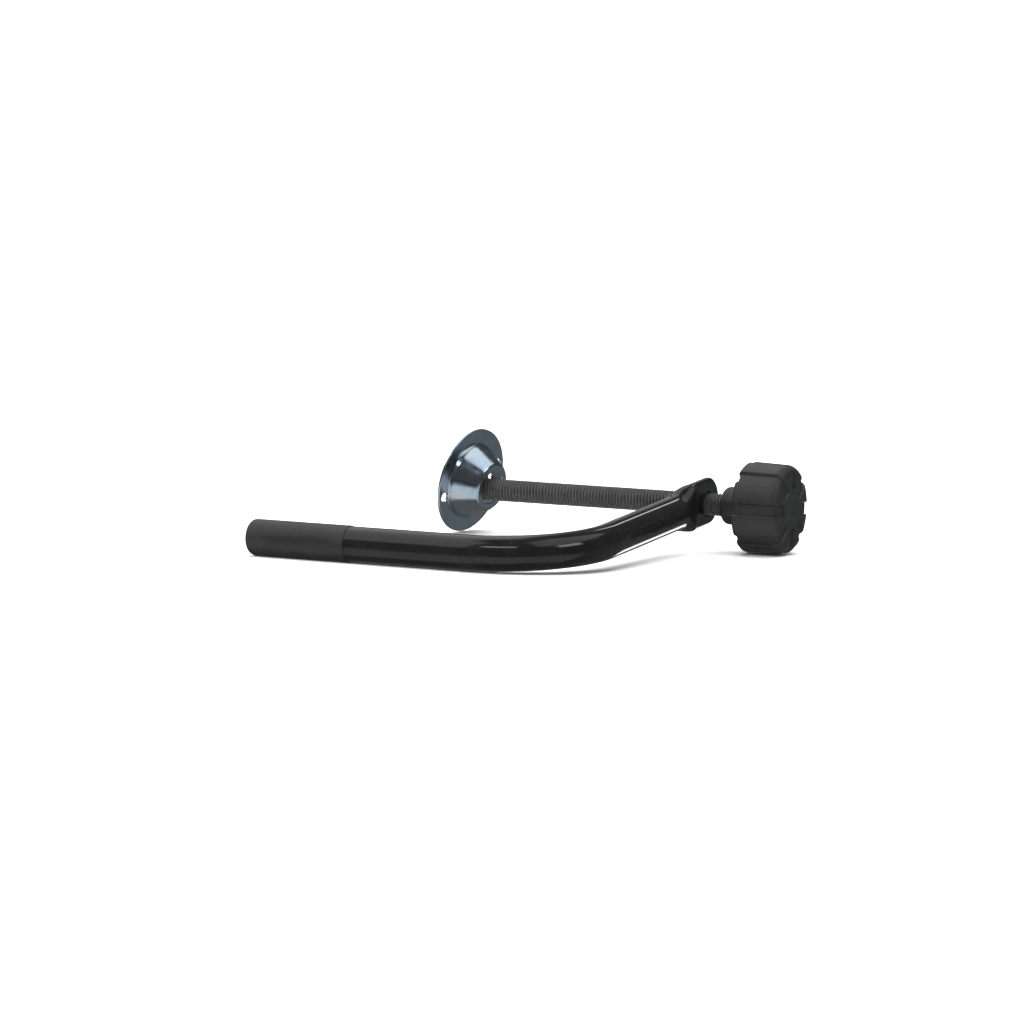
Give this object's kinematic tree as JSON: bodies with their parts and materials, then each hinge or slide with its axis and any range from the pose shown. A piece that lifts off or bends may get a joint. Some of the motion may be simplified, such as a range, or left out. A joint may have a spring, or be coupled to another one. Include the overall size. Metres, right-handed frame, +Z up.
{
  "type": "door security bar",
  "caption": "L-shaped tubular security bar with a crushed eye, a long clamp screw, a fluted hand knob and a loose swivel cup that screws to a door or wall.",
  "frame": {"origin": "centre of the footprint on the surface that the bar lies on", "axes": "+Z up, +X along the clamp screw towards the knob, -Y towards the bar's long leg"},
  "size_m": [0.2436, 0.2194, 0.0594],
  "materials": {
    "gloss_black": "gloss black coating on steel tube",
    "matt_sleeve": "matt black sleeve",
    "black_oxide": "black oxide steel",
    "knob_plastic": "moulded black plastic",
    "insert_steel": "plain steel",
    "zinc": "bright zinc plating"
  },
  "bodies": {
    "bar": {"bar_tube": "gloss_black", "bar_end_sleeve": "matt_sleeve", "eye_nut": "gloss_black"},
    "screw_carrier": {"thrust_washer": "zinc"},
    "screw": {"threaded_rod": "black_oxide", "knob_body": "knob_plastic", "knob_insert": "insert_steel", "knob_lock_pin": "insert_steel", "retaining_nut": "zinc", "nut_lock_pin": "insert_steel"},
    "swivel": {"swivel_washer": "zinc"},
    "cup": {"flange_cup": "zinc"}
  },
  "joints": [
    {"name": "screw_advance", "type": "slide", "parent": "bar", "child": "screw_carrier", "axis": [1, 0, 0], "range_m": [-0.01015, 0.1122]},
    {"name": "knob_turn", "type": "hinge", "parent": "screw_carrier", "child": "screw", "pos_m": [0.0812, 0.07742, 0.02536], "axis": [1, 0, 0], "range_deg": [-1860, 20634]},
    {"name": "cup_spin", "type": "hinge", "parent": "screw_carrier", "child": "swivel", "pos_m": [-0.0705, 0.07742, 0.02536], "axis": [1, 0, 0], "continuous": true},
    {"name": "cup_tilt", "type": "hinge", "parent": "swivel", "child": "cup", "pos_m": [-0.0633, 0.07742, 0.02677], "axis": [0, -0.7766, 0.63], "range_deg": [0, 29.8]}
  ],
  "couplings": [
    {"joint": "screw_advance", "follows": "knob_turn", "m_per_rad": 0.00031099}
  ]
}
